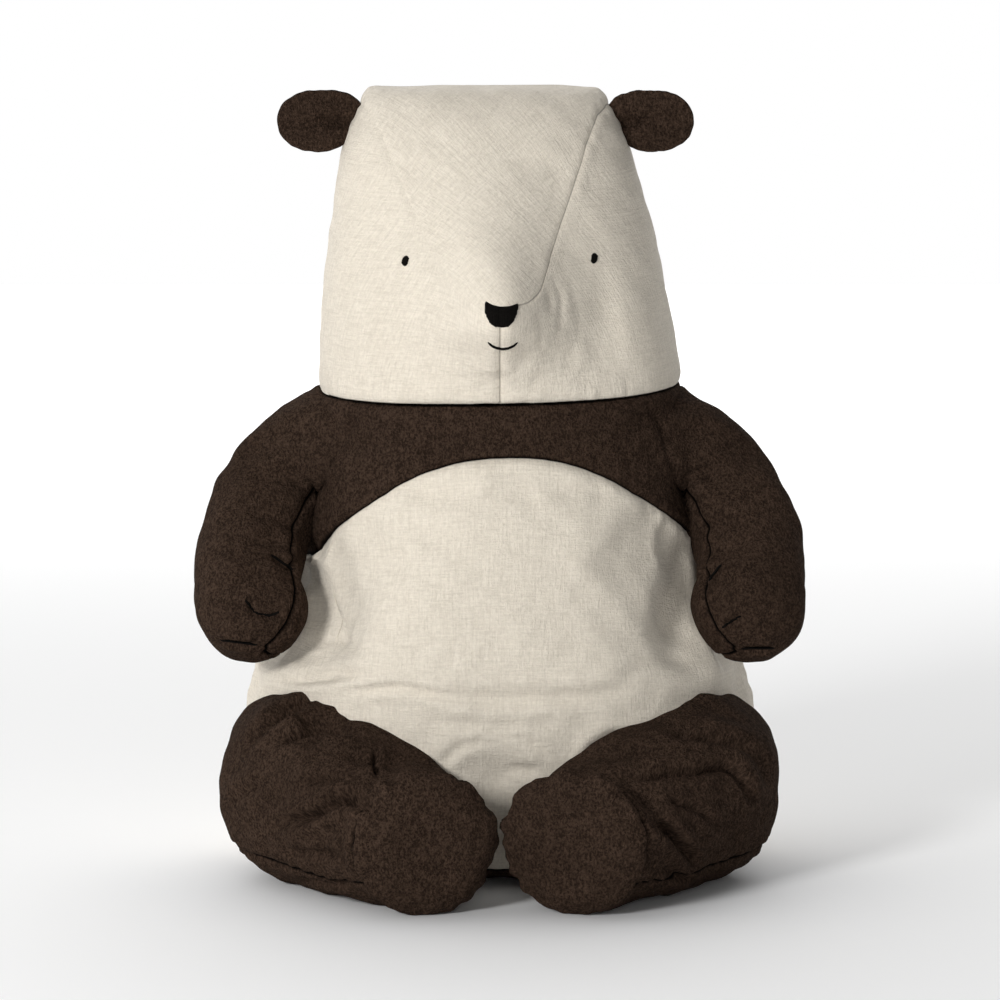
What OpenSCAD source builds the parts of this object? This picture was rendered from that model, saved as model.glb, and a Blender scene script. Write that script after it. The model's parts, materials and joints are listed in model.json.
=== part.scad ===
// Large seated stuffed bear: boxy head, pear-shaped body, two arms and two legs.
// +Z is up, the toy faces -Y and its own left side is +X.
// The origin is on the floor under the middle of the toy.
// Each fabric panel is a thin shell, and each stuffing pad is a solid inside its panels.

/* [Fabric] */
// Thickness of the sewn cloth
cloth = 1.6; // [1:0.2:2.4]
// Space between the cloth and the stuffing pad
pad_gap = 2; // [1.6:0.2:3]
// Width of the gap along each seam
seam = 0.6; // [0.4:0.1:1]

/* [Head] */
// Height of the neck seam above the floor
neck_z = 373; // [365:1:380]
// Height of the head above the neck seam
head_h = 227; // [215:1:240]
// Width of the head at the neck
head_w = 278; // [270:1:286]
// Width of the head at the crown
crown_w = 206; // [196:1:212]
// Depth of the head at the neck
head_d = 224; // [216:1:232]
// How far the snout stands forward
snout_reach = 58; // [50:1:70]
// Height of the snout's tip above the neck seam
snout_h = 68; // [60:1:76]
// Half width of the snout
snout_w = 44; // [38:1:48]

/* [Face] */
// Distance between the eyes
eye_gap = 141; // [130:1:150]
// Height of the eyes above the neck seam
eye_h = 102; // [95:1:110]
// Radius of each embroidered eye
eye_r = 2.8; // [2:0.2:4]
// Width of the embroidered nose
nose_w = 24; // [20:1:28]
// Height of the embroidered nose
nose_h = 19; // [15:1:22]
// Drop of the nose's bottom edge below the snout's tip
nose_drop = 11; // [8:1:14]
// Width of the mouth's stitch
mouth_w = 21; // [16:1:26]
// Drop of the middle of the mouth below the snout's tip
mouth_drop = 28; // [24:1:32]
// Thickness of the mouth's thread
mouth_t = 1.4; // [1:0.2:2]
// How far the mouth's ends curve up
smile = 4.5; // [2:0.5:6]
// Thickness of the face embroidery
stitch_t = 1.6; // [1:0.2:2.4]

/* [Ears] */
// Width of an ear, outwards from the head
ear_w = 64; // [54:1:66]
// Height of an ear
ear_h = 46; // [40:1:50]
// Thickness of an ear
ear_t = 13; // [10:1:16]
// Height of the ears' middle above the neck seam
ear_up = 203; // [196:1:206]
// How far the ears are cupped forward
ear_cup = 7; // [3:1:10]

/* [Torso] */
// Distance of the body's middle behind the origin
torso_y = 45; // [42:1:48]
// Half width of the body's flat base
base_a = 150; // [140:1:156]
// Half depth of the body's flat base
base_b = 118; // [110:1:122]
// Thickness of the base panel
base_t = 2; // [1.6:0.2:3]
// Height of the dark yoke's arch at the middle of the chest
arch_z = 329; // [320:1:336]
// Drop of the arch from its middle to the side seam
arch_drop = 84; // [75:1:95]
// Rise of the yoke's seam from the side seam to the middle of the back
arch_back = 30; // [0:1:50]

/* [Arms] */
// Radius of the shoulder
shoulder_r = 36; // [33:1:37]
// Radius of the paw
paw_r = 42; // [39:1:43]
// Length of a claw stitch
claw_l = 13; // [10:1:15]
// Thickness of the claw thread
claw_t = 1.8; // [1.4:0.2:2.2]

/* [Legs] */
// Radius of the hip
hip_r = 60; // [54:1:62]
// Radius of the thigh
thigh_r = 70; // [62:1:71]
// Radius of the sole
sole_r = 52; // [48:1:52]
// How far the sole bulges
sole_bulge = 14; // [8:1:16]

/* [Movement] */
// How far an arm swings forward
arm_swing = 70; // [40:5:70]
// How far a leg spreads
leg_spread = 25; // [10:5:25]
// Slope of the faces above and below the neck, which leaves room for the nod
neck_slope = 4.5; // [4.5:0.5:6]
// Room between a limb and the body
limb_gap = 3; // [3:0.5:4]

/* [Hidden] */
cream = [0.86, 0.82, 0.75];
bark = [0.2, 0.16, 0.13];
thread = [0.05, 0.045, 0.04];
stuffing = [0.93, 0.93, 0.9];
pad_inset = cloth + pad_gap;
around = 36;                      // points round the head and the body
limb_around = 20;                 // points round an arm, a leg or an ear
neck_gap = 4;                     // space between the head and the body at the neck
head_round = 0.85;                // 1 is an ellipse seen from above, less is boxier
torso_round = 0.9;
crown_square = 0.06;              // how square the crown's corners are, from the front
crown_slope = 0.6;                // how soon the head's depth closes towards the crown
snout_above = 64;                 // length of the snout's slope up to the forehead
snout_below = 38;                 // length of the snout's slope down to the chin
nose_round = 2.6;                 // how square the nose's lower corners are
gusset_nose = 15;                 // latitude of the head seam at the nose
gusset_side = 75;                 // latitude of the head seam above the ears
gusset_tail = 10;                 // latitude of the head seam at the back of the neck

// Height and half width, then height and half depth, of the body
torso_half_w = [
    [0, base_a], [14, 168], [50, 187], [110, 198], [158, 189],
    [200, 170], [240, 158], [290, 148], [330, 139], [neck_z, 135]
];
torso_half_d = [
    [0, base_b], [14, 134], [50, 149], [110, 155], [158, 152],
    [200, 146], [240, 137], [290, 126], [330, 118], [neck_z, 110]
];

// Control points of each limb's middle line, for the left side
arm_line = [[128, 40, 332], [172, 40, 308], [207, 5, 258], [190, -38, 211]];
leg_line = [[126, 14, 80], [188, -45, 70], [80, -112, 60], [56, -176, 53]];
arm_radii = [[0, shoulder_r], [0.5, 39], [1, paw_r]];
leg_radii = [[0, hip_r], [0.3, thigh_r], [0.6, 61], [1, sole_r]];
shoulder = arm_line[0];
hip = leg_line[0];
arm_seam_to = [-1, 0, 0];         // an arm's angles start at its front
leg_seam_to = [0, 0, 1];          // a leg's angles start at its outer side
arm_under = [54, 144];            // angles of the two seams beside an arm's inner panel
leg_under = [216, 324];           // angles of the two seams beside a leg's lower panel
sleeve_end = -0.35;               // where a limb's cloth starts, as a share of its first dome
arm_rows = 14;                    // rows of points along an arm, from its cloth's start to the paw's tip
leg_rows = 10;                    // rows of points along a leg, as far as the sole's seam
leg_end = 0.985;                  // where the leg's cloth meets the sole
sole_rows = 5;                    // rows of points from the sole's seam to its middle
limb_seam = 0.45;                 // half the seam's width, in degrees round a limb

ear_y = 35;                       // the ears stand this far behind the origin
ear_gap = 4;                      // space between the head's side and an ear

// ---- small helpers ----

function lerp(a, b, t) = a + (b - a) * t;
function unit(v) = v / norm(v);
function clamp01(t) = min(1, max(0, t));
function spow(x, e) = sign(x) * pow(abs(x), e);
function bezier(p, t) =
    p[0] * pow(1 - t, 3) + p[1] * 3 * t * pow(1 - t, 2)
    + p[2] * 3 * t * t * (1 - t) + p[3] * pow(t, 3);
function bezier_dir(p, t) = unit(
    (p[1] - p[0]) * pow(1 - t, 2) + (p[2] - p[1]) * 2 * t * (1 - t) + (p[3] - p[2]) * t * t);

// ---- cloth shapes: each takes two places on the cloth and a depth under its outside ----

// Head: direction round from the front (towards +X), latitude from the neck to the crown
function head_at(turn, lat, depth) =
    let(
        up = sin(lat),
        a = max(0, lerp(head_w, crown_w, up) / 2 * pow(cos(lat), crown_square) - depth),
        b = max(0, head_d / 2 * pow(cos(lat), crown_slope) - depth),
        x = a * spow(sin(turn), head_round),
        y = b * spow(cos(turn), head_round),
        rise = (head_h - depth) * up,
        off = (rise - snout_h) / (rise > snout_h ? snout_above : snout_below),
        wide = x / (snout_w - depth * 0.8),
        snout = cos(turn) > 0 ? (snout_reach - depth) * exp(-wide * wide - off * off) : 0
    )
    [x, torso_y - y - snout, neck_z + rise + abs(y) * tan(neck_slope) * (1 - up)];

// Directions round the head, closer together at the snout; share runs from 0 to 1
function head_turn(share) = 360 * share - 0.6 * sin(360 * share) * 180 / PI;

function gusset_lat(turn) =
    let(low = abs(turn) < 90 ? gusset_nose : gusset_tail)
    lerp(low, gusset_side, pow(abs(sin(turn)), 0.95));

// The head's place at a given x and height, on its front
function face_at(x, h, depth) =
    let(
        lat = asin(h / head_h),
        a = lerp(head_w, crown_w, sin(lat)) / 2 * pow(cos(lat), crown_square),
        turn = sign(x) * asin(pow(abs(x) / a, 1 / head_round))
    )
    head_at(turn, lat, depth);

// Body: direction round from the front, height from the base (0) to the neck (1)
function torso_top(turn) =
    neck_z - neck_gap - lookup(neck_z, torso_half_d) * pow(abs(cos(turn)), torso_round) * tan(neck_slope);
function torso_at(turn, v, depth) =
    let(
        z = lerp(base_t + seam, torso_top(turn), v),
        a = lookup(z, torso_half_w) - depth,
        b = lookup(z, torso_half_d) - depth
    )
    [a * spow(sin(turn), torso_round), torso_y - b * spow(cos(turn), torso_round), z];
function arch(turn) =
    let(z = abs(turn) <= 90
        ? arch_z - arch_drop * pow(sin(turn), 2)
        : arch_z - arch_drop + arch_back * pow(cos(turn), 2))
    (z - base_t - seam) / (torso_top(turn) - base_t - seam);

// Limb: angle round its middle line, and a place from -1 (near dome) through 0..1 to 2 (far dome)
function limb_at(line, radii, seam_to, dome, angle, w, depth) =
    let(
        t = clamp01(w),
        fwd = bezier_dir(line, t),
        side = unit(cross(seam_to, fwd)),
        other = cross(fwd, side),
        r = lookup(t, radii) - depth,
        near = 90 * min(0, w),
        far = 90 * max(0, w - 1),
        ring = r * cos(near) * pow(max(0, cos(far)), dome[1]),
        shift = r * sin(near) + (dome[0] - depth) * sin(far)
    )
    bezier(line, t) + fwd * shift + (side * cos(angle) + other * sin(angle)) * ring;
function arm_at(angle, w, depth) =
    limb_at(arm_line, arm_radii, arm_seam_to, [paw_r, 1], angle, w, depth);
function leg_at(angle, w, depth) =
    limb_at(leg_line, leg_radii, leg_seam_to, [sole_bulge, 0.5], angle, w, depth);

ear_lat = asin(ear_up / head_h);
ear_mid = [head_at(90, ear_lat, 0).x + ear_gap + ear_w / 2, ear_y, neck_z + ear_up];

// Ear: angle round it, share of the way from the middle to the rim, and its face (-1 is the front)
function ear_at(angle, rim, face, depth) =
    let(
        x = (ear_w / 2 - depth) * rim * spow(cos(angle), 0.8),
        z = (ear_h / 2 - depth) * rim * spow(sin(angle), 0.8),
        edge = cloth + seam,
        half = lerp(edge, ear_t / 2, sqrt(1 - rim * rim)) - depth
    )
    ear_mid + [x, face * half - ear_cup * pow(2 * x / ear_w, 2), z];

// ---- solids from cloth shapes ----

// Thin shell over cloth given by two shares (0..1) and a depth.
// closed joins its first and last columns, and pole makes its last row one point.
module shell(place, outer, inner, across, along, closed = false, pole = false) {
    columns = closed ? across : across + 1;
    count = along * columns + (pole ? 1 : columns);
    rows = pole ? along - 1 : along;
    points = [
        for (depth = [outer, inner]) each [
            for (j = [0:rows], i = [0:columns - 1]) place(i / across, j / along, depth),
            if (pole) place(0, 1, depth)
        ]
    ];
    at = function(side, i, j)
        side * count + (pole && j == along ? along * columns : j * columns + i % columns);
    quad = function(a, b, c, d) concat(
        (a == b || b == c || a == c) ? [] : [[c, b, a]],
        (a == c || c == d || a == d) ? [] : [[d, c, a]]);
    faces = [
        for (i = [0:across - 1], j = [0:along - 1]) each concat(
            quad(at(0, i, j), at(0, i + 1, j), at(0, i + 1, j + 1), at(0, i, j + 1)),
            quad(at(1, i, j + 1), at(1, i + 1, j + 1), at(1, i + 1, j), at(1, i, j))),
        for (i = [0:across - 1]) each concat(
            quad(at(1, i, 0), at(1, i + 1, 0), at(0, i + 1, 0), at(0, i, 0)),
            pole ? [] : quad(at(0, i, along), at(0, i + 1, along), at(1, i + 1, along), at(1, i, along))),
        if (!closed) for (j = [0:along - 1]) each concat(
            quad(at(0, 0, j), at(0, 0, j + 1), at(1, 0, j + 1), at(1, 0, j)),
            quad(at(1, across, j), at(1, across, j + 1), at(0, across, j + 1), at(0, across, j)))
    ];
    polyhedron(points, faces, convexity = 6);
}

// Closed solid through rings, from a first point to a last one
module pad(rings, first, last) {
    n = len(rings[0]);
    count = len(rings);
    points = [first, for (ring = rings) each ring, last];
    at = function(j, i) 1 + j * n + i % n;
    faces = [
        for (i = [0:n - 1]) [at(0, i), at(0, i + 1), 0],
        for (j = [0:count - 2], i = [0:n - 1]) each [
            [at(j + 1, i + 1), at(j, i + 1), at(j, i)],
            [at(j + 1, i), at(j + 1, i + 1), at(j, i)]
        ],
        for (i = [0:n - 1]) [len(points) - 1, at(count - 1, i + 1), at(count - 1, i)]
    ];
    polyhedron(points, faces, convexity = 6);
}

// ---- room that the moving limbs need ----

function turned_x(p, pivot, angle) =
    let(d = p - pivot)
    pivot + [d.x, d.y * cos(angle) - d.z * sin(angle), d.y * sin(angle) + d.z * cos(angle)];
function turned_z(p, pivot, angle) =
    let(d = p - pivot)
    pivot + [d.x * cos(angle) - d.y * sin(angle), d.x * sin(angle) + d.y * cos(angle), d.z];

// Hulls over the balls along a limb, from one end of its travel to the other
module sweep(place, radius, stations, angles) {
    for (i = [0:len(stations) - 2], k = [0:len(angles) - 2])
        hull()
            for (t = [stations[i], stations[i + 1]], angle = [angles[k], angles[k + 1]])
                translate(place(t, angle)) sphere(r = radius(t) + limb_gap, $fn = 24);
}

module limb_room() {
    sweep(
        function(t, angle) turned_x(bezier(arm_line, t), shoulder, -angle),
        function(t) lookup(t, arm_radii), [0, 0.35, 0.7, 1], [0, arm_swing / 2, arm_swing]);
    sweep(
        function(t, angle) turned_z(bezier(leg_line, t), hip, angle),
        function(t) lookup(t, leg_radii), [0, 0.15, 0.3, 0.45, 0.6, 0.8, 1], [0, leg_spread]);
}

module both_limb_rooms() {
    limb_room();
    mirror([1, 0, 0]) limb_room();
}

// ---- head ----

module head_gusset() {
    color(cream)
        shell(
            function(s, t, depth)
                let(turn = head_turn(s), low = gusset_lat(turn > 180 ? 360 - turn : turn) + seam)
                head_at(turn, lerp(low, 90, pow(t, 1.5)), depth),
            0, cloth, around, 10, closed = true, pole = true);
}

// Cheek on the toy's left, from the chin seam round to the back seam
module head_cheek_left() {
    color(cream)
        shell(
            function(s, t, depth)
                let(turn = lerp(0.25, 179.75, head_turn(s / 2) / 180))
                head_at(turn, lerp(0, gusset_lat(turn) - seam / 4, t), depth),
            0, cloth, around / 2, 9);
}

module head_cheek_right() {
    mirror([1, 0, 0]) head_cheek_left();
}

module head_fill() {
    lats = [1, 5, 9, 13, 17, 21, 26, 32, 40, 50, 60, 70, 78, 84, 88];
    color(stuffing)
        pad(
            [for (lat = lats) [for (i = [0:around - 1]) head_at(head_turn(i / around), lat, pad_inset)]],
            [0, torso_y, neck_z + 4],
            [0, torso_y, neck_z + head_h - pad_inset]);
}

// ---- face ----

// Points p and q on the face give the direction straight out of it between them
function face_out(x, h) = unit(cross(
    face_at(x + 1, h, 0) - face_at(x - 1, h, 0), face_at(x, h + 1, 0) - face_at(x, h - 1, 0)));

module eye_left() {
    out = face_out(eye_gap / 2, eye_h);
    color(thread)
        translate(face_at(eye_gap / 2, eye_h, 0) + out * 0.4)
            rotate([0, acos(out.z), atan2(out.y, out.x)])
                cylinder(r = eye_r, h = stitch_t, $fn = 32);
}

module eye_right() {
    mirror([1, 0, 0]) eye_left();
}

// Shield with a straight top and a round bottom
module nose() {
    color(thread)
        shell(
            function(s, t, depth)
                let(half = nose_w / 2 * pow(1 - pow(1 - t, nose_round), 0.5) + 0.5)
                face_at(lerp(-half, half, s), snout_h - nose_drop + nose_h * t, -depth),
            stitch_t + 0.5, 0.5, 8, 6);
}

module mouth() {
    color(thread)
        shell(
            function(s, t, depth)
                let(x = mouth_w * (s - 0.5), lift = smile * pow(2 * s - 1, 2) + mouth_t * (t - 0.5))
                face_at(x, snout_h - mouth_drop + lift, -depth),
            stitch_t + 0.4, 0.4, 10, 1);
}

// ---- ears ----

module ear_left_front() {
    color(bark)
        shell(
            function(s, t, depth) ear_at(360 * s, 1 - t, -1, depth),
            0, cloth, limb_around, 4, closed = true, pole = true);
}

module ear_left_back() {
    color(bark)
        shell(
            function(s, t, depth) ear_at(-360 * s, 1 - t, 1, depth),
            0, cloth, limb_around, 4, closed = true, pole = true);
}

module ear_left_fill() {
    inset = cloth + seam;
    rims = [
        [-1, 0.25], [-1, 0.5], [-1, 0.75], [-1, 0.9],
        [1, 0.9], [1, 0.75], [1, 0.5], [1, 0.25]];
    color(stuffing)
        pad(
            [for (r = rims) [for (i = [0:limb_around - 1])
                ear_at(-360 * i / limb_around, r[1], r[0], inset)]],
            ear_at(0, 0, -1, inset), ear_at(0, 0, 1, inset));
}

module ear_right_front() {
    mirror([1, 0, 0]) ear_left_front();
}

module ear_right_back() {
    mirror([1, 0, 0]) ear_left_back();
}

module ear_right_fill() {
    mirror([1, 0, 0]) ear_left_fill();
}

// ---- body ----

// Panel of the body's cloth between two directions and two heights; a larger ease
// puts its rows of points closer together near its lower edge
module torso_panel(from, to, low, high, along, ease) {
    difference() {
        shell(
            function(s, t, depth)
                let(turn = lerp(from + 0.2, to - 0.2, s))
                torso_at(turn, lerp(low(turn), high(turn), pow(t, ease)), depth),
            0, cloth, around / 2, along);
        both_limb_rooms();
    }
}

module yoke_front() {
    color(bark)
        torso_panel(-90, 90, function(turn) arch(turn) + 0.001, function(turn) 1, 5, 1);
}

module yoke_back() {
    color(bark)
        torso_panel(90, 270,
            function(turn) arch(180 - abs(180 - turn)) + 0.001, function(turn) 1, 5, 1);
}

module belly_front() {
    color(cream)
        torso_panel(-90, 90, function(turn) 0, function(turn) arch(turn) - 0.001, 12, 1.5);
}

module lower_back() {
    color(cream)
        torso_panel(90, 270,
            function(turn) 0, function(turn) arch(180 - abs(180 - turn)) - 0.001, 12, 1.5);
}

module base_panel() {
    color(bark)
        linear_extrude(base_t)
            polygon([for (i = [0:around - 1])
                let(p = torso_at(360 * i / around, 0, 0)) [p.x, p.y]]);
}

module torso_fill() {
    levels = [
        0.008, 0.03, 0.06, 0.13, 0.22, 0.31, 0.38, 0.45, 0.52, 0.59, 0.66, 0.74, 0.82, 0.9, 0.995];
    color(stuffing)
        difference() {
            pad(
                [for (v = levels) [for (i = [0:around - 1])
                    torso_at(360 * i / around, v, pad_inset)]],
                [0, torso_y, base_t + seam + 2.5],
                [0, torso_y, neck_z - neck_gap - 1.5]);
            both_limb_rooms();
        }
}

// ---- arms ----

// Panel of a limb's cloth, between its two seams
module limb_panel(place, from, to, last, along, pole) {
    columns = limb_around * (to - from) / 360;
    shell(
        function(s, t, depth)
            place(lerp(from + limb_seam, to - limb_seam, s), lerp(sleeve_end, last, t), depth),
        0, cloth, columns, along, pole = pole);
}

// Stuffing of a limb; its rows of points stand at the same places as those of the limb's cloth
module limb_pad(place, last, along, far) {
    stations = [
        -0.85, -0.6,
        for (j = [0:along - 1]) lerp(sleeve_end, last, j / along),
        each far
    ];
    pad(
        [for (w = stations) [for (i = [0:limb_around - 1])
            place(360 * i / limb_around, w, pad_inset)]],
        place(0, -1, pad_inset), place(0, 2, pad_inset));
}

module arm_left_outer() {
    color(bark)
        limb_panel(
            function(angle, w, depth) arm_at(angle, w, depth), arm_under[1], arm_under[0] + 360,
            2, arm_rows, true);
}

module arm_left_inner() {
    color(bark)
        limb_panel(
            function(angle, w, depth) arm_at(angle, w, depth), arm_under[0], arm_under[1],
            2, arm_rows, true);
}

module arm_left_fill() {
    color(stuffing)
        limb_pad(function(angle, w, depth) arm_at(angle, w, depth), 2, arm_rows, []);
}

// Three straight stitches over the front of the paw
module claws_left() {
    lift = claw_t / 2 + 1;
    color(thread)
        for (angle = [25, 0, -25]) {
            high = arm_at(angle, 1.25, -lift);
            low = arm_at(angle, 1.25 + claw_l / paw_r / 1.57, -lift);
            run = low - high;
            translate(high)
                rotate([0, acos(run.z / norm(run)), atan2(run.y, run.x)])
                    cylinder(r = claw_t / 2, h = norm(run), $fn = 16);
        }
}

module arm_right_outer() {
    mirror([1, 0, 0]) arm_left_outer();
}

module arm_right_inner() {
    mirror([1, 0, 0]) arm_left_inner();
}

module arm_right_fill() {
    mirror([1, 0, 0]) arm_left_fill();
}

module claws_right() {
    mirror([1, 0, 0]) claws_left();
}

// ---- legs ----

module leg_left_upper() {
    color(bark)
        limb_panel(
            function(angle, w, depth) leg_at(angle, w, depth), leg_under[1], leg_under[0] + 360,
            leg_end, leg_rows, false);
}

module leg_left_lower() {
    color(bark)
        limb_panel(
            function(angle, w, depth) leg_at(angle, w, depth), leg_under[0], leg_under[1],
            leg_end, leg_rows, false);
}

module leg_left_sole() {
    color(bark)
        shell(
            function(s, t, depth) leg_at(360 * s, lerp(1, 2, t), depth),
            0, cloth, limb_around, sole_rows, closed = true, pole = true);
}

module leg_left_fill() {
    color(stuffing)
        limb_pad(
            function(angle, w, depth) leg_at(angle, w, depth), leg_end, leg_rows,
            [leg_end, for (j = [1:sole_rows - 1]) 1 + j / sole_rows]);
}

module leg_right_upper() {
    mirror([1, 0, 0]) leg_left_upper();
}

module leg_right_lower() {
    mirror([1, 0, 0]) leg_left_lower();
}

module leg_right_sole() {
    mirror([1, 0, 0]) leg_left_sole();
}

module leg_right_fill() {
    mirror([1, 0, 0]) leg_left_fill();
}

head_gusset();
head_cheek_left();
head_cheek_right();
head_fill();
eye_left();
eye_right();
nose();
mouth();
ear_left_front();
ear_left_back();
ear_left_fill();
ear_right_front();
ear_right_back();
ear_right_fill();
yoke_front();
yoke_back();
belly_front();
lower_back();
base_panel();
torso_fill();
arm_left_outer();
arm_left_inner();
arm_left_fill();
claws_left();
arm_right_outer();
arm_right_inner();
arm_right_fill();
claws_right();
leg_left_upper();
leg_left_lower();
leg_left_sole();
leg_left_fill();
leg_right_upper();
leg_right_lower();
leg_right_sole();
leg_right_fill();
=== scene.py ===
"""Looks of a large seated stuffed bear with panda colouring: camera, light, cloth, seams and stitches.

All shapes are worked out in millimetres in the part's own frame (+Z up, the toy faces -Y, its own left is +X)
and turned into metres when a mesh is made.
"""
import json
import math

import bpy
import numpy as np
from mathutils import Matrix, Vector
from mathutils.bvhtree import BVHTree
from mathutils.kdtree import KDTree


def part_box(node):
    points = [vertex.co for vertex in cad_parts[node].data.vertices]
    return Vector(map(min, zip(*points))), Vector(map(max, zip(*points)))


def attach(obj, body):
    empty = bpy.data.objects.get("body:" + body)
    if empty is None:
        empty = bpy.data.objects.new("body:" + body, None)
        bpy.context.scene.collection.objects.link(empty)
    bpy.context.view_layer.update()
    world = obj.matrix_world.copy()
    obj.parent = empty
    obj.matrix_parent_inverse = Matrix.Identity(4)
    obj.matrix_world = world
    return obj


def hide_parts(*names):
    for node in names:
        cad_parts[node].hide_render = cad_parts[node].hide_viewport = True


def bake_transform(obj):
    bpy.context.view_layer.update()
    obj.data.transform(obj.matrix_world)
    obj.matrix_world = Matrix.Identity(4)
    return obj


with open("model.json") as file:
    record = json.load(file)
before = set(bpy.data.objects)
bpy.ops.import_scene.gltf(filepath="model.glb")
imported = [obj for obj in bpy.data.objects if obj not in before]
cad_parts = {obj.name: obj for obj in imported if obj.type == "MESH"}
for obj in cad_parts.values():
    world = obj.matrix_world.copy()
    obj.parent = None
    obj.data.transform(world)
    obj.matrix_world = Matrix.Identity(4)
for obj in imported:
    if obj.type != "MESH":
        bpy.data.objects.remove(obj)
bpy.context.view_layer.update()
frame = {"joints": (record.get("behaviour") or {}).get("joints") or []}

MM = 0.001

# ---- driving sizes, from the frame

neck_low, neck_high = (np.array(c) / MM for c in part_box("head_fill"))
base_low, base_high = (np.array(c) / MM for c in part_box("base_panel"))
NECK_Z = neck_low[2] - 6
CROWN_Z = neck_high[2] + 3.6
MID_Y = (base_low[1] + base_high[1]) / 2
JOINT = {j["name"]: j for j in frame["joints"]}
SHOULDER = np.array(JOINT["arm_left_swing"]["pos_m"]) / MM
HIP = np.array(JOINT["leg_left_spread"]["pos_m"]) / MM

HEAD_LEAN = -0.055          # the head leans to the toy's right as it rises
HEAD_HALF_D = 112
NECK_HALF_W = 139
NECK_TILT = 0.023           # the neck seam is a little lower on the toy's right
NECK_DIP = 5                # and dips at the front
SNOUT_RISE, SNOUT_REACH, SNOUT_HALF_W = 67, 58, 44
HEM_Z = 1.5                 # lower edge of the body's panels
YOKE_FRONT_Z, YOKE_SIDE_Z, YOKE_BACK_Z, YOKE_TILT = 327, 247, 277, 8     # where the dark yoke ends
ARMHOLE_Y, ARMHOLE_Z, ARMHOLE_HALF_D, ARMHOLE_HALF_H = 44, 326, 68, 46
PAW_R = 42.5
SOLE_R = 53.5
SOLE_BULGE = 21
EAR_HALF = (35, 24.4)
EAR_MID = (126.5, 34.0, NECK_Z + 204)
TURN_IN = 3.2               # how far a panel's edge is turned in
ARM_SEAM = np.array([-1.0, 0, 0])                 # directions that the limb seams are counted from
LEG_SEAM = np.array([0, 0, 1.0])
ARM_LINE = [SHOULDER, (170, 40, 312), (203, 5, 257), (190, -39, 209)]
LEG_LINE = [HIP, (190, -45, 70), (74, -112, 60), (56, -186, 54)]
BIAS = np.array([[0.7071, 0.7071, 0], [-0.7071, 0.7071, 0], [0, 0, 1]])  # cloth cut at 45 degrees

# half widths and depths: the head's by height above the neck, the body's by height, the limbs' along them
HEAD_HALF = np.array([
    (0, 139.5), (16, 139), (47, 136), (79, 132), (110, 127), (141, 121), (172, 114.6), (187, 111),
    (202, 105.5), (219, 99), (227, 96)])
TORSO_HALF_W = np.array([
    (0, 148), (14, 168), (50, 188), (100, 199), (125, 198), (155, 190), (200, 171), (250, 155),
    (300, 146), (340, 141), (373, 139)])
TORSO_HALF_D = np.array([
    (0, 118), (14, 134), (50, 149), (110, 155), (158, 152), (200, 146), (250, 136), (300, 125),
    (340, 117), (373, 112)])
ARM_RADII = np.array([(0, 37), (0.5, 40), (1, PAW_R)])
LEG_RADII = np.array([(0, 62), (0.3, 70), (0.6, 63), (1, SOLE_R)])
LEG_TOP = np.array([                 # added to the leg's radius upwards
    (0, 0), (0.3, 6), (0.45, 6), (0.6, 5), (0.74, -6), (0.86, -13), (0.95, -5), (1, 0)])
GUSSET = np.array([                  # height above the neck and share of the half width, down the front seam
    (216, 0.97), (209, 0.86), (199, 0.78), (187, 0.694), (167, 0.60), (147, 0.508), (130, 0.43), (110, 0.346),
    (95, 0.294), (83, 0.247), (76, 0.17), (74, 0)])
GUSSET_BACK = np.array([(216, 0.97), (205, 0.86), (180, 0.70), (130, 0.50), (80, 0.36), (40, 0.22), (20, 0)])


# ---- small maths helpers

def spow(x, e):
    return np.sign(x) * np.abs(x) ** e


def smooth(t):
    t = np.clip(t, 0, 1)
    return t * t * (3 - 2 * t)


def bump(d, width):
    return np.exp(-(d / width) ** 2)


def bezier(p, t):
    p = np.asarray(p, float)
    t = np.asarray(t, float)[..., None]
    return p[0] * (1 - t) ** 3 + p[1] * 3 * t * (1 - t) ** 2 + p[2] * 3 * t * t * (1 - t) + p[3] * t ** 3


def bezier_dir(p, t):
    p = np.asarray(p, float)
    t = np.asarray(t, float)[..., None]
    d = (p[1] - p[0]) * (1 - t) ** 2 + (p[2] - p[1]) * 2 * t * (1 - t) + (p[3] - p[2]) * t * t
    return d / np.linalg.norm(d, axis=-1, keepdims=True)


def waves(points, size, seed, count=14):
    """Smooth uneven field of about unit height: a seeded sum of plane waves about size mm long."""
    rng = np.random.default_rng(seed)
    total = np.zeros(len(points))
    for _ in range(count):
        way = rng.normal(size=3)
        way /= np.linalg.norm(way)
        pitch = 2 * np.pi / (size * rng.uniform(0.7, 1.5))
        total += np.sin(points @ way * pitch + rng.uniform(0, 2 * np.pi))
    return total / math.sqrt(count)


# ---- small scene helpers

def new_object(name, data):
    obj = bpy.data.objects.new(name, data)
    bpy.context.scene.collection.objects.link(obj)
    return obj


def store(mesh, name, values):
    """Keeps a number or a vector at each point of a mesh, for the materials and for the finer mesh."""
    kind, field = ("FLOAT", "value") if values.ndim == 1 else ("FLOAT_VECTOR", "vector")
    mesh.attributes.new(name, kind, "POINT").data.foreach_set(field, values.astype(np.float32).ravel())


# ---- surfaces

def neck_line(turn):
    """Height of the neck seam: tilted sideways, and dipping at the front."""
    turn = np.radians(turn)
    return NECK_Z + NECK_TILT * NECK_HALF_W * np.sin(turn) - NECK_DIP * np.clip(np.cos(turn), 0, 1)


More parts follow.
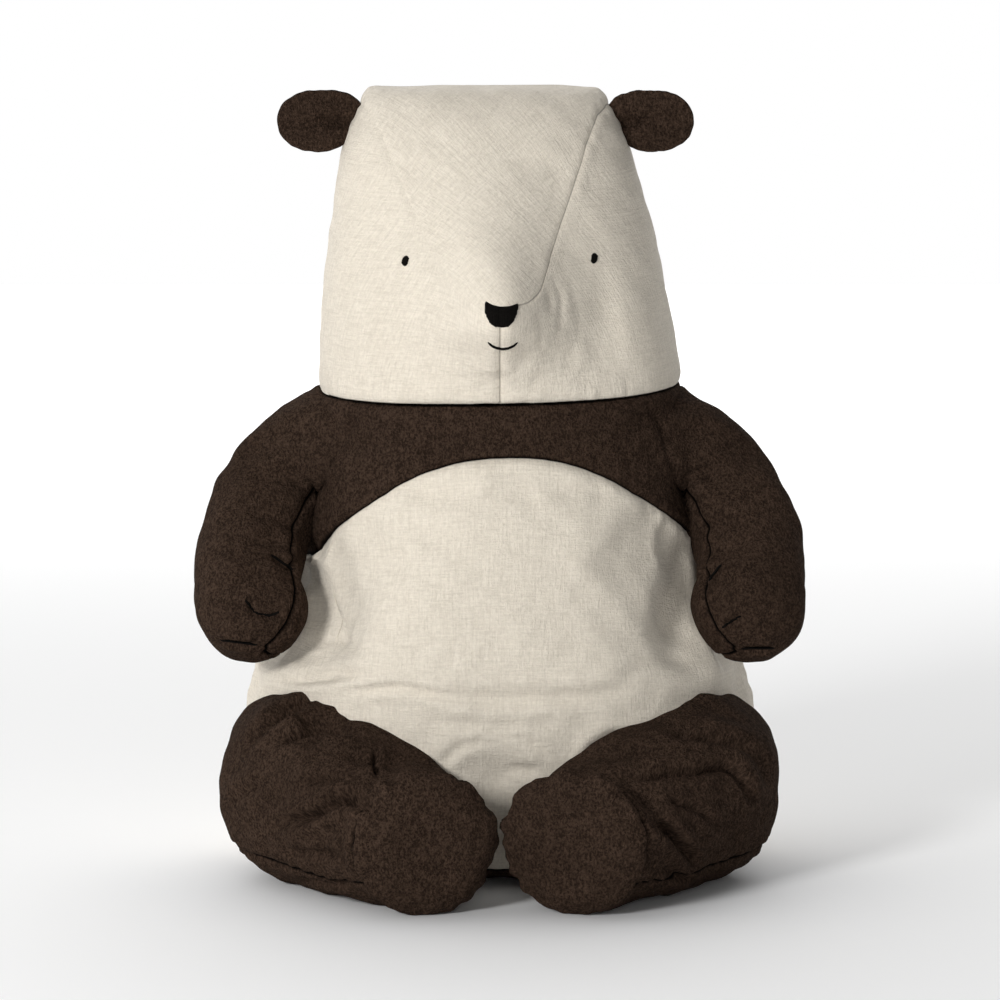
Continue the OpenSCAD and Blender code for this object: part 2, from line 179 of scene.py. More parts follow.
def head_at(turn, lat):
    """Head: turn in degrees round from the front towards +X, lat in degrees from the neck to the crown."""
    turn, lat = np.radians(turn), np.radians(lat)
    up = np.sin(lat)
    rise = (CROWN_Z - NECK_Z) * up
    half = np.interp(rise, HEAD_HALF[:, 0], HEAD_HALF[:, 1])
    close = np.clip(np.cos(lat), 0, 1)
    a = half * close ** 0.035
    b = HEAD_HALF_D * close ** 0.6
    x = a * spow(np.sin(turn), 0.85)
    y = b * spow(np.cos(turn), 0.85)
    off = (rise - SNOUT_RISE) / np.where(rise > SNOUT_RISE, 64, 38)
    snout = np.where(np.cos(turn) > 0, SNOUT_REACH * np.exp(-(x / SNOUT_HALF_W) ** 2 - off * off), 0)
    z = neck_line(np.degrees(turn)) * (1 - up) + (NECK_Z + (CROWN_Z - NECK_Z) * up) * up + rise * (1 - up)
    # the middle of the chin and snout doesn't lean, so the chin's seam stays upright
    straight = np.where(np.cos(turn) > 0, np.exp(-(x / 50) ** 2) * (1 - smooth((rise - 80) / 80)), 0)
    return np.stack([x + HEAD_LEAN * rise * (1 - straight), MID_Y - y - snout, z], -1)


def gusset_lat(turn):
    """Lat of the gusset's seam at each turn."""
    turn = np.abs((turn + 180) % 360 - 180)
    lats = []
    for table, angle in ((GUSSET, turn), (GUSSET_BACK, 180 - turn)):
        seam_turn = np.degrees(np.arcsin(np.clip(table[:, 1], 0, 1) ** (1 / 0.85)))
        rise = np.interp(angle, seam_turn[::-1], table[::-1, 0])
        lats.append(np.degrees(np.arcsin(rise / (CROWN_Z - NECK_Z))))
    return np.where(turn <= 90, lats[0], lats[1])


def torso_at(turn, v):
    """Body: turn in degrees round from the front towards +X, v from 0 at the hem to 1 at the neck."""
    z = HEM_Z + (neck_line(turn) - HEM_Z) * v
    turn = np.radians(turn)
    a = np.interp(z, TORSO_HALF_W[:, 0], TORSO_HALF_W[:, 1])
    b = np.interp(z, TORSO_HALF_D[:, 0], TORSO_HALF_D[:, 1])
    top = smooth((v - 0.75) / 0.25)
    boxy = 0.9 - 0.05 * top
    x = a * spow(np.sin(turn), boxy)
    y = MID_Y - b * spow(np.cos(turn), boxy)
    chin = np.where(np.cos(turn) > 0, 2.6 * top * np.exp(-(x / SNOUT_HALF_W) ** 2), 0)
    return np.stack([x, y - chin, z], -1)


def arch(turn):
    """Share of the body's height where the dark yoke ends."""
    s, c = np.sin(np.radians(turn)), np.cos(np.radians(turn))
    front = YOKE_FRONT_Z - (YOKE_FRONT_Z - YOKE_SIDE_Z) * s ** 2 + YOKE_TILT * s
    back = YOKE_SIDE_Z + YOKE_TILT * s + (YOKE_BACK_Z - YOKE_SIDE_Z) * c ** 2
    return (np.where(c >= 0, front, back) - HEM_Z) / (neck_line(turn) - HEM_Z)


def limb_frame(line, seam_to, t):
    """Middle of a limb, the way along it and two ways across it, t from 0 at the body to 1 at the dome."""
    centre, fwd = bezier(line, t), bezier_dir(line, t)
    side = np.cross(seam_to, fwd)
    side /= np.linalg.norm(side, axis=-1, keepdims=True)
    return centre, fwd, side, np.cross(fwd, side)


def tube_at(line, radii, seam_to, angle, t):
    """Round limb: angle in degrees round its middle line."""
    centre, _, side, other = limb_frame(line, seam_to, t)
    r = np.interp(t, radii[:, 0], radii[:, 1])[..., None]
    angle = np.radians(angle)[..., None]
    return centre + (side * np.cos(angle) + other * np.sin(angle)) * r


def thigh_at(angle, t):
    """Leg: a round tube that is fuller at the top of the thigh and squarer where it rests on the floor."""
    centre, _, side, other = limb_frame(LEG_LINE, LEG_SEAM, t)
    r = np.interp(t, LEG_RADII[:, 0], LEG_RADII[:, 1])
    c, s = np.cos(np.radians(angle)), np.sin(np.radians(angle))
    square = 1 - 0.2 * smooth(t / 0.3) * smooth((1 - t) / 0.3) * (s < 0)
    up = np.where(s > 0, r + np.interp(t, LEG_TOP[:, 0], LEG_TOP[:, 1]), r)
    return centre + side * (spow(c, square) * r)[..., None] + other * (spow(s, square) * up)[..., None]


def dome_at(line, radius, seam_to, reach, square, angle, lift):
    """Far end of a limb: lift from 0 at its rim to 90 degrees at its middle."""
    centre, fwd, side, other = limb_frame(line, seam_to, np.ones_like(angle))
    lift, angle = np.radians(lift)[..., None], np.radians(angle)[..., None]
    ring = radius * np.clip(np.cos(lift), 0, 1) ** square
    return centre + fwd * reach * np.sin(lift) + (side * np.cos(angle) + other * np.sin(angle)) * ring


def armhole(angle):
    """Seam where the left arm's cloth meets the body: angle 0 is the front, 90 the armpit, 270 the top."""
    a = np.radians(angle)
    y = ARMHOLE_Y - ARMHOLE_HALF_D * np.cos(a)
    z = ARMHOLE_Z - ARMHOLE_HALF_H * np.sin(a) + np.where(np.sin(a) < 0, -3 * np.sin(a) ** 2, 0)
    half_w = np.interp(z, TORSO_HALF_W[:, 0], TORSO_HALF_W[:, 1])
    half_d = np.interp(z, TORSO_HALF_D[:, 0], TORSO_HALF_D[:, 1])
    depth = np.clip(np.abs(y - MID_Y) / half_d, 0, 1) ** (1 / 0.9)
    x = half_w * np.clip(1 - depth ** 2, 0, 1) ** 0.45
    return np.stack([x - 3, y, z], -1)


def arm_at(angle, t):
    """Arm: a tube that opens out into the armhole."""
    tube = tube_at(ARM_LINE, ARM_RADII, ARM_SEAM, angle, t)
    return tube + (armhole(angle) - tube_at(ARM_LINE, ARM_RADII, ARM_SEAM, angle, 0 * t)) \
        * (1 - smooth(t / 0.42))[..., None]


# ---- grids

class Grid:
    """Rows of points with faces between them, and each point's place along the threads, in millimetres."""

    def __init__(self):
        self.points, self.threads, self.faces, self.labels, self.size = [], [], [], [], 0

    def rows(self, points, threads=None):
        rows, columns = points.shape[:2]
        ids = self.size + np.arange(rows * columns).reshape(rows, columns)
        self.points.append(points.reshape(-1, 3))
        self.threads.append(np.zeros((rows * columns, 4)) if threads is None else threads.reshape(-1, 4))
        self.size += rows * columns
        return ids

    def skin(self, ids, label, closed=False):
        if closed:
            ids = np.concatenate([ids, ids[:, :1]], 1)
        quads = np.stack([ids[:-1, :-1], ids[:-1, 1:], ids[1:, 1:], ids[1:, :-1]], -1).reshape(-1, 4)
        self.faces += quads.tolist()
        self.labels += [label] * len(quads)

    def cap(self, ring, point, label, flip=False):
        last = self.threads[-1][-1:].reshape(1, 1, 4)
        centre = self.rows(np.array(point, float).reshape(1, 1, 3), last)[0, 0]
        for a, b in zip(ring, np.roll(ring, -1)):
            self.faces.append([int(b), int(a), int(centre)] if flip else [int(a), int(b), int(centre)])
            self.labels.append(label)

    def mesh(self, name, labels, mirror=False):
        points = np.concatenate(self.points)
        faces = self.faces
        if mirror:
            points = points * (-1, 1, 1)
            faces = [f[::-1] for f in faces]
        mesh = bpy.data.meshes.new(name)
        mesh.from_pydata((points * MM).tolist(), [], faces)
        mesh.polygons.foreach_set("material_index", [labels.index(l) for l in self.labels])
        threads = np.concatenate(self.threads)
        for k, part in (("threads_a", threads[:, :2]), ("threads_b", threads[:, 2:])):
            store(mesh, k, np.concatenate([part, np.zeros((len(part), 1))], 1))
        obj = new_object(name, mesh)
        obj["labels"] = labels
        return obj


def thread_places(points):
    """Lengths round a skin, both ways from its front and its back, one way from its front, and up it."""
    step = np.linalg.norm(np.roll(points, -1, axis=1) - points, axis=-1)
    total = step.sum(1, keepdims=True)
    along = np.concatenate([np.zeros((len(points), 1)), np.cumsum(step, 1)[:, :-1]], 1)
    rise = np.linalg.norm(np.diff(points, axis=0), axis=-1)
    up = np.concatenate([np.zeros((1, points.shape[1])), np.cumsum(rise, 0)])
    signed = np.where(along > total / 2, along - total, along)
    return signed, along - total / 2, along, along - total, up


def head_grid():
    g = Grid()
    columns, low, high = 168, 44, 36
    share = np.arange(columns) / columns
    turn = 360 * share - 24 * np.sin(2 * np.pi * share)
    seam = gusset_lat(turn)
    points = np.stack([head_at(turn, seam * t) for t in np.linspace(0, 1, low)])
    _, _, left, right, up = thread_places(points)
    right[:, 0] = 0
    cheek = g.rows(points, np.stack([left, up, right, up], -1))
    shares = np.linspace(0, 1, high + 2)[1:-1]
    crown = g.rows(np.stack([head_at(turn, seam + (90 - seam) * t ** 0.9) for t in shares]))
    half = columns // 2
    g.skin(cheek[:, :half + 1], "head_cheek_left")
    g.skin(np.concatenate([cheek[:, half:], cheek[:, :1]], 1), "head_cheek_right")
    g.skin(np.concatenate([cheek[-1:], crown]), "head_gusset", closed=True)
    g.cap(crown[-1], head_at(0.0, 90.0), "head_gusset")
    return g.mesh("head", ["head_cheek_left", "head_cheek_right", "head_gusset"])


def torso_grid():
    g = Grid()
    columns, low, high, base = 208, 58, 24, 14
    turn = 360 * np.arange(columns) / columns
    seam = arch(turn)
    points = np.stack([torso_at(turn, seam * t) for t in np.linspace(0, 1, low)]
                      + [torso_at(turn, seam + (1 - seam) * t) for t in np.linspace(0, 1, high + 1)[1:]])
    front_u, back_u, _, _, up = thread_places(points)
    ids = g.rows(points, np.stack([front_u, up, back_u, up], -1))
    belly, upper = ids[:low], ids[low - 1:]
    q = columns // 4
    front = np.r_[3 * q:columns, 0:q + 1]
    back = np.r_[q:3 * q + 1]
    g.skin(belly[:3], "base_panel", closed=True)
    g.skin(belly[2:, front], "belly_front")
    g.skin(belly[2:, back], "lower_back")
    g.skin(upper[:, front], "yoke_front")
    g.skin(upper[:, back], "yoke_back")
    rim = torso_at(turn, 0 * turn)
    middle = np.array([0, MID_Y, 1.2])
    floor = g.rows(np.stack([middle + (rim - middle) * s for s in np.linspace(1, 0, base + 1)[1:-1]]))
    g.skin(np.concatenate([belly[:1], floor])[::-1], "base_panel", closed=True)
    g.cap(floor[-1], middle, "base_panel", flip=True)
    return g.mesh("torso", ["belly_front", "lower_back", "yoke_front", "yoke_back", "base_panel"])


def arm_grid(side):
    g = Grid()
    columns, along, dome = 64, 58, 14
    angle = 54 + 360 * np.arange(columns) / columns
    sleeve = [arm_at(angle, t * np.ones(columns)) for t in np.linspace(0, 1, along)]
    lifts = np.linspace(0, 90, dome + 1)[1:-1]
    paw = [dome_at(ARM_LINE, PAW_R, ARM_SEAM, PAW_R, 1, angle, l * np.ones(columns)) for l in lifts]
    ids = g.rows(np.stack(sleeve + paw))
    under = columns // 4
    inner, outer = f"arm_{side}_inner", f"arm_{side}_outer"
    g.skin(ids[:, :under + 1], inner)
    g.skin(np.concatenate([ids[:, under:], ids[:, :1]], 1), outer)
    tip = dome_at(ARM_LINE, PAW_R, ARM_SEAM, PAW_R, 1, np.zeros(1), 90 * np.ones(1))[0]
    g.cap(ids[-1], tip, outer)
    return g.mesh("arm_" + side, [inner, outer], mirror=side == "right")


def leg_grid(side):
    g = Grid()
    columns, along, dome = 70, 56, 14
    angle = 216 + 360 * np.arange(columns) / columns
    thigh = [thigh_at(angle, t * np.ones(columns)) for t in np.linspace(0, 1, along)]
    lifts = np.linspace(0, 90, dome + 1)[1:-1]
    sole = [dome_at(LEG_LINE, SOLE_R, LEG_SEAM, SOLE_BULGE, 0.7, angle, l * np.ones(columns)) for l in lifts]
    ids = g.rows(np.stack(thigh + sole))
    under = 21
    names = [f"leg_{side}_{part}" for part in ("upper", "lower", "sole")]
    g.skin(ids[:along, :under + 1], names[1])
    g.skin(np.concatenate([ids[:along, under:], ids[:along, :1]], 1), names[0])
    g.skin(ids[along - 1:], names[2], closed=True)
    tip = dome_at(LEG_LINE, SOLE_R, LEG_SEAM, SOLE_BULGE, 0.7, np.zeros(1), 90 * np.ones(1))[0]
    g.cap(ids[-1], tip, names[2])
    return g.mesh("leg_" + side, names, mirror=side == "right")


def ear_at(angle, share, face):
    """Left ear: angle round it from its tip, share of the way to its rim, face -1 is the front."""
    a = np.radians(angle)
    out = EAR_HALF[0] * share * spow(np.cos(a), 0.9)
    up = EAR_HALF[1] * share * spow(np.sin(a), 0.9)
    up = up * (1 - 0.1 * smooth(-out / EAR_HALF[0])) + 3.5 * smooth(-out / EAR_HALF[0])
    thick = 1.2 + 6.2 * np.clip(1 - share ** 2, 0, 1) ** 0.5
    thick = thick * (1 - 0.3 * smooth(-out / EAR_HALF[0] - 0.2))
    cup = -9 * (up / EAR_HALF[1]) ** 2 - 5 * smooth(out / EAR_HALF[0]) + 4
    return np.stack([EAR_MID[0] + out, EAR_MID[1] + cup + face * thick, EAR_MID[2] + up], -1)


def ear_grid(side):
    g = Grid()
    columns, rings = 56, 13
    angle = 360 * np.arange(columns) / columns
    share = [s * np.ones(columns) for s in np.linspace(1, 0, rings + 1)[:-1] ** 0.75]
    front = g.rows(np.stack([ear_at(angle, s, -1) for s in share]))
    back = g.rows(np.stack([ear_at(angle, s, 1) for s in share[1:]]))
    names = [f"ear_{side}_front", f"ear_{side}_back"]
    g.skin(front, names[0], closed=True)
    g.cap(front[-1], ear_at(np.zeros(1), np.zeros(1), -1)[0], names[0])
    g.skin(np.concatenate([front[:1], back])[:, ::-1], names[1], closed=True)
    g.cap(back[-1], ear_at(np.zeros(1), np.zeros(1), 1)[0], names[1], flip=True)
    return g.mesh("ear_" + side, names, mirror=side == "right")


# ---- cloth under the stuffing's pressure

def simulate(pieces, frames=18):
    """The cloth settles under pressure from inside, held along its seams; each piece has its limit in mm."""
    scene = bpy.context.scene
    for obj, held, press, slack, _ in pieces:
        group = obj.vertex_groups.new(name="held")
        for weight in np.unique(held):
            if weight > 0:
                group.add(np.flatnonzero(held == weight).tolist(), float(weight), "REPLACE")
        cloth = obj.modifiers.new("cloth", "CLOTH")
        s = cloth.settings
        s.quality = 5
        s.mass = 0.3
        s.tension_stiffness = s.compression_stiffness = 30
        s.shear_stiffness = 12
        s.bending_stiffness = 2
        s.air_damping = 5
        s.use_pressure = True
        s.uniform_pressure_force = press
        s.shrink_min = -slack
        s.effector_weights.gravity = 0
        s.vertex_group_mass = "held"
        s.pin_stiffness = 1
        cloth.point_cache.frame_start, cloth.point_cache.frame_end = 1, frames
    for frame_now in range(1, frames + 1):
        scene.frame_set(frame_now)
    graph = bpy.context.evaluated_depsgraph_get()
    for obj, _, _, _, limit in pieces:
        count = len(obj.data.vertices)
        start, end = np.zeros(count * 3), np.zeros(count * 3)
        obj.data.vertices.foreach_get("co", start)
        obj.evaluated_get(graph).data.vertices.foreach_get("co", end)
        move = (end - start).reshape(-1, 3) / MM
        far = np.linalg.norm(move, axis=1, keepdims=True)
        move *= np.tanh(far / limit) * limit / np.maximum(far, 1e-6)
        obj.modifiers.clear()
        obj.data.vertices.foreach_set("co", start + move.ravel() * MM)
        obj.data.update()
    scene.frame_set(1)


def seam_points(obj):
    """True for points where two panels meet, and for points on an open edge."""
    count = len(obj.data.vertices)
    low, high = np.full(count, 99), np.full(count, -1)
    edges = {}
    for p in obj.data.polygons:
        ids = np.array(p.vertices)
        low[ids] = np.minimum(low[ids], p.material_index)
        high[ids] = np.maximum(high[ids], p.material_index)
        for key in p.edge_keys:
            edges[key] = edges.get(key, 0) + 1
    seams = low != high
    for (a, b), n in edges.items():
        if n == 1:
            seams[a] = seams[b] = True
    return seams


# ---- fine skin

def lone_edges(faces, count):
    """Both ends of each edge that only one face has."""
    a, b = faces.ravel(), np.roll(faces, -1, axis=1).ravel()
    key = np.minimum(a, b).astype(np.int64) * count + np.maximum(a, b)
    _, back, uses = np.unique(key, return_inverse=True, return_counts=True)
    lone = uses[back] == 1
    return a[lone], b[lone]


class Skin:
    """Finer copy of a simulated piece, as arrays in millimetres, to be shaped and cut into its panels."""

    def __init__(self, obj):
        seams = seam_points(obj)
        fine = obj.modifiers.new("fine", "SUBSURF")
        fine.levels = fine.render_levels = 1
        fine.boundary_smooth = "PRESERVE_CORNERS"
        store(obj.data, "seam_mark", seams)
        mesh = bpy.data.meshes.new_from_object(obj.evaluated_get(bpy.context.evaluated_depsgraph_get()))
        count = len(mesh.vertices)
        self.p = self.read(mesh.vertices, "co", 3) / MM
        self.faces = self.read_ids(mesh.loops, "vertex_index").reshape(-1, 4)
        self.label = self.read_ids(mesh.polygons, "material_index")
        self.names = list(obj["labels"])
        self.a = self.read(mesh.attributes["threads_a"].data, "vector", 3)
        self.b = self.read(mesh.attributes["threads_b"].data, "vector", 3)
        marked = self.read(mesh.attributes["seam_mark"].data, "value", 1).ravel() > 0.99
        low, high = np.full(count, 99), np.full(count, -1)
        for k in range(4):
            np.minimum.at(low, self.faces[:, k], self.label)
            np.maximum.at(high, self.faces[:, k], self.label)
        open_edge = np.zeros(count, bool)
        open_edge[np.concatenate(lone_edges(self.faces, count))] = True
        seam = (low != high) | (marked & open_edge)
        where = np.flatnonzero(seam)
        tree = KDTree(len(where))
        for k, i in enumerate(where):
            tree.insert(self.p[i], k)
        tree.balance()
        found = [tree.find(q) for q in self.p]
        self.seam_d = np.array([f[2] for f in found])
        self.seam_at = self.p[where[[f[1] for f in found]]]
        self.rest = self.p.copy()
        bpy.data.objects.remove(obj)

    @staticmethod
    def read(items, name, width):
        values = np.zeros(len(items) * width, np.float32)
        items.foreach_get(name, values)
        return values.reshape(-1, width).astype(float)

    @staticmethod
    def read_ids(items, name):
        values = np.zeros(len(items), np.int32)
        items.foreach_get(name, values)
        return values

    def normals(self):
        q = self.p[self.faces]
        n = np.cross(q[:, 2] - q[:, 0], q[:, 3] - q[:, 1])
        total = np.zeros_like(self.p)
        for k in range(4):
            np.add.at(total, self.faces[:, k], n)
        return total / np.maximum(np.linalg.norm(total, axis=1, keepdims=True), 1e-9)

    def push(self, amount):
        self.p = self.p + self.normals() * np.asarray(amount)[:, None]

    def seams(self, depth=1.9, width=2.2, puff=0.8, pucker=0.45, length=9, seed=1, share=1):
        """Pulls the cloth in along each seam, with small puckers across it."""
        d = self.seam_d
        groove = -depth * bump(d, width) + puff * bump(d - 6.5, 4)
        self.push(share * (groove + pucker * waves(self.seam_at, length, seed) * bump(d - 4, 5.5)))

    def scallops(self, height, size, seed):
        """Gathers round the sole's seam, deeper at its top and inner side."""
        x, y, z = self.seam_at.T
        share = smooth((-y - 150) / 20) * smooth((z - 0.9 * (np.abs(x) - 56) - 30) / 60)
        self.push(height * share * waves(self.seam_at, size, seed) * bump(self.seam_d - 3, 7))

    def uneven(self, height, size, seed):
        self.push(height * waves(self.rest, size, seed) * smooth(self.seam_d / 12))

    def folds(self, strokes, faces=-1):
        """Creases seen from the front (faces -1) or the back: (depth, width, [(x, z), ...])."""
        total = np.zeros(len(self.p))
        n = self.normals()
        front = smooth((faces * n[:, 1] + 0.1) / 0.3)
        for depth, width, line in strokes:
            line = np.array(line, float)
            run = np.concatenate([[0], np.cumsum(np.linalg.norm(np.diff(line, axis=0), axis=1))])
            best, at = np.full(len(self.p), 1e9), np.zeros(len(self.p))
            flat = self.p[:, [0, 2]]
            for i in range(len(line) - 1):
                way = line[i + 1] - line[i]
                t = np.clip((flat - line[i]) @ way / (way @ way), 0, 1)
                d = np.linalg.norm(flat - line[i] - t[:, None] * way, axis=1)
                near = d < best
                best[near], at[near] = d[near], (run[i] + t * np.linalg.norm(way))[near]
            fade = smooth(at / (0.3 * run[-1]) + 0.12) * smooth((run[-1] - at) / (0.3 * run[-1]) + 0.12)
            total += fade * (-depth * bump(best, width) + 0.4 * depth * bump(best - 2.1 * width, 1.3 * width))
        self.push(total * front)

    def dents(self, spots, faces=-1):
        """Soft hollows seen from the front: (depth, x, z, half width, half height); below 0 is a swelling."""
        front = smooth((faces * self.normals()[:, 1] + 0.3) / 0.4)
        total = np.zeros(len(self.p))
        for depth, x, z, w, h in spots:
            total -= depth * np.exp(-((self.p[:, 0] - x) / w) ** 2 - ((self.p[:, 2] - z) / h) ** 2)
        self.push(total * front)

    def panel(self, name, threads, material):
        """One panel as its own object, with its edges turned in."""
        faces = self.faces[self.label == self.names.index(name)]
        used, faces = np.unique(faces, return_inverse=True)
        faces = faces.reshape(-1, 4)
        p, n = self.p[used], self.normals()[used]
        a, b = lone_edges(faces, len(p))
        edge = np.unique(np.r_[a, b])
        middle = np.zeros_like(p)
        np.add.at(middle, faces.ravel(), np.repeat(p[faces].mean(1), 4, axis=0))
        share = np.bincount(faces.ravel(), minlength=len(p))[:, None]
        inward = middle / share - p
        inward /= np.maximum(np.linalg.norm(inward, axis=1, keepdims=True), 1e-9)
        turned = np.full(len(p), -1)
        turned[edge] = len(p) + np.arange(len(edge))
        p = np.concatenate([p, p[edge] - n[edge] * TURN_IN + inward[edge] * 0.5])
        rim = np.stack([b, a, turned[a], turned[b]], 1)
        keep = np.r_[used, used[edge]]
        mesh = bpy.data.meshes.new("cloth_" + name)
        mesh.from_pydata((p * MM).tolist(), [], np.concatenate([faces, rim]).tolist())
        mesh.polygons.foreach_set("use_smooth", [True] * len(mesh.polygons))
        ends = np.zeros(len(mesh.edges) * 2, np.int32)
        mesh.edges.foreach_get("vertices", ends)
        ends = np.sort(ends.reshape(-1, 2), axis=1).astype(np.int64) @ (10 ** 7, 1)
        on_edge = np.isin(ends, np.minimum(a, b).astype(np.int64) * 10 ** 7 + np.maximum(a, b))
        mesh.attributes.new("sharp_edge", "BOOLEAN", "EDGE").data.foreach_set("value", on_edge)
        if threads == "bias":
            r = self.rest[keep]
            angle = np.arctan2(r[:, 2] - NECK_Z - 60, MID_Y - r[:, 1])
            place = np.stack([r[:, 0], 135 * angle, 0 * angle], 1) @ BIAS
        else:
            place = (self.a if threads == "a" else self.b)[keep]
        store(mesh, "rest", self.rest[keep] * MM)
        store(mesh, "threads", place)
        # distance to the seam, which the materials use to lay painted shade along the seams
        store(mesh, "seam", self.seam_d[keep])
        mesh.materials.append(material)
        return new_object("cloth_" + name, mesh)

    def tree(self):
        return BVHTree.FromPolygons([Vector(q) for q in self.p], self.faces.tolist())


def on_front(tree, x, z):
    """Place and outward direction where a line from the front meets a skin."""
    place, normal, _, _ = tree.ray_cast(Vector((x, -600, z)), Vector((0, 1, 0)))
    normal = np.array(normal)
    return np.array(place), normal * (-1 if normal[1] > 0 else 1)


# ---- embroidery

def strands(name, lines, tree, radius, lift, material, sides=8):
    """Threads laid over a skin along lines of (x, z); each thread dips into the cloth at both ends."""
    points, faces = [], []
    for line in lines:
        line = np.array(line, float)
        run = np.concatenate([[0], np.cumsum(np.linalg.norm(np.diff(line, axis=0), axis=1))])
        steps = max(7, int(run[-1] / 1.1))
        share = np.linspace(0, 1, steps)
        spots = [on_front(tree, *(np.interp(s * run[-1], run, line[:, k]) for k in (0, 1))) for s in share]
        centre = np.array([s[0] for s in spots])
        out = np.array([s[1] for s in spots])
        centre += out * (lift * (1 - (2 * share - 1) ** 6) - 0.9 * np.abs(2 * share - 1) ** 8)[:, None]
        way = np.gradient(centre, axis=0)
        way /= np.linalg.norm(way, axis=1, keepdims=True)
        side = np.cross(way, out)
        side /= np.linalg.norm(side, axis=1, keepdims=True)
        out = np.cross(side, way)
        turn = 2 * np.pi * np.arange(sides) / sides
        ring = side[:, None] * np.cos(turn)[:, None] + out[:, None] * np.sin(turn)[:, None]
        first = sum(len(q) for q in points)
        points.append((centre[:, None] + ring * radius).reshape(-1, 3))
        ids = first + np.arange(steps * sides).reshape(steps, sides)
        on = np.roll(ids, -1, axis=1)
        faces += np.stack([ids[:-1], on[:-1], on[1:], ids[1:]], -1).reshape(-1, 4).tolist()
        faces += [ids[0, ::-1].tolist(), ids[-1].tolist()]
    mesh = bpy.data.meshes.new("stitched_" + name)
    rest = np.concatenate(points) * MM
    mesh.from_pydata(rest.tolist(), [], faces)
    mesh.polygons.foreach_set("use_smooth", [True] * len(mesh.polygons))
    store(mesh, "rest", rest)
    mesh.materials.append(material)
    return new_object("stitched_" + name, mesh)


# ---- materials

class Nodes:
    """Short way to write a node tree."""

    def __init__(self, name):
        self.material = bpy.data.materials.new(name)
        self.material.use_nodes = True
        self.tree = self.material.node_tree
        self.shader = self.tree.nodes["Principled BSDF"]

    def add(self, kind, inputs=(), **settings):
        node = self.tree.nodes.new(kind)
        for key, value in settings.items():
            setattr(node, key, value)
        for key, value in dict(inputs).items():
            self.put(node.inputs[key], value)
        return node

    def put(self, socket, value):
        if isinstance(value, bpy.types.NodeSocket):
            self.tree.links.new(value, socket)
        else:
            socket.default_value = value

    def math(self, operation, a, b=0.0):
        return self.add("ShaderNodeMath", {0: a, 1: b}, operation=operation).outputs[0]

    def attribute(self, name):
        return self.add("ShaderNodeAttribute", attribute_name=name)

    def stretched(self, vector, scale):
        return self.add("ShaderNodeVectorMath", {0: vector, 1: scale}, operation="MULTIPLY").outputs[0]

    def noise(self, vector, scale, detail=2.0, rough=0.5):
        sockets = {"Vector": vector, "Scale": scale, "Detail": detail, "Roughness": rough}
        node = self.add("ShaderNodeTexNoise", sockets)
        return node.outputs["Fac"]

    def spread(self, value, low, high, to_low=0.0, to_high=1.0):
        return self.add("ShaderNodeMapRange", {0: value, 1: low, 2: high, 3: to_low, 4: to_high}).outputs[0]

    def mix(self, share, a, b):
        return self.add("ShaderNodeMixRGB", {0: share, 1: a, 2: b}).outputs[0]


def linen(name, colour, dark, seam_shade):
    """Brushed linen: crossed uneven threads, fine slubs, soft colour drift, and painted shade along the
    seams.
    """
    n = Nodes(name)
    place = n.attribute("threads").outputs["Vector"]
    rest = n.attribute("rest").outputs["Vector"]
    seam = n.attribute("seam").outputs["Fac"]
    warp = n.noise(n.stretched(place, (0.62, 0.05, 1)), 1, 2)
    weft = n.noise(n.stretched(place, (0.05, 0.62, 1)), 1, 2)
    fine_a = n.noise(n.stretched(place, (1.4, 0.25, 1)), 1, 1)
    fine_b = n.noise(n.stretched(place, (0.25, 1.4, 1)), 1, 1)
    fine = n.math("MULTIPLY", n.math("MULTIPLY", fine_a, fine_b), 0.8)
    weave = n.math("ADD", n.math("MULTIPLY", warp, weft), fine)
    slub = n.noise(n.stretched(place, (0.5, 0.035, 1)), 1, 3, 0.7)
    mottle = n.noise(rest, 330, 4, 0.65)
    drift = n.noise(rest, 14, 3)
    tone = n.math("ADD", n.spread(weave, 0.25, 0.65), n.spread(slub, 0.62, 0.8, 0.0, -0.7))
    tone = n.math("ADD", tone, n.spread(mottle, 0.35, 0.65, -0.2, 0.2))
    shade = n.mix(n.spread(tone, 0.0, 1.0, 1.0, 0.0), colour, dark)
    shade = n.mix(n.spread(drift, 0.35, 0.7, 0.0, 0.12), shade, dark)
    # painted shade: the cloth darkens towards each seam, and a dark painted groove line runs along it
    shade = n.mix(n.spread(seam, 0.2, 1.5, seam_shade, 0.0), shade, dark)
    shade = n.mix(n.spread(seam, 0.0, 0.8, 0.7, 0.0), shade, PAINTED_CREAM_GROOVE_SHADE)
    n.put(n.shader.inputs["Base Color"], shade)
    n.shader.inputs["Roughness"].default_value = 0.92
    n.shader.inputs["Sheen Weight"].default_value = 0.12
    n.shader.inputs["Sheen Roughness"].default_value = 0.5
    height = n.math("ADD", weave, n.math("MULTIPLY", mottle, 0.7))
    low = n.add("ShaderNodeBump", {"Strength": 0.6, "Distance": 0.0016, "Height": height})
    n.put(n.shader.inputs["Normal"], low.outputs["Normal"])
    return n.material


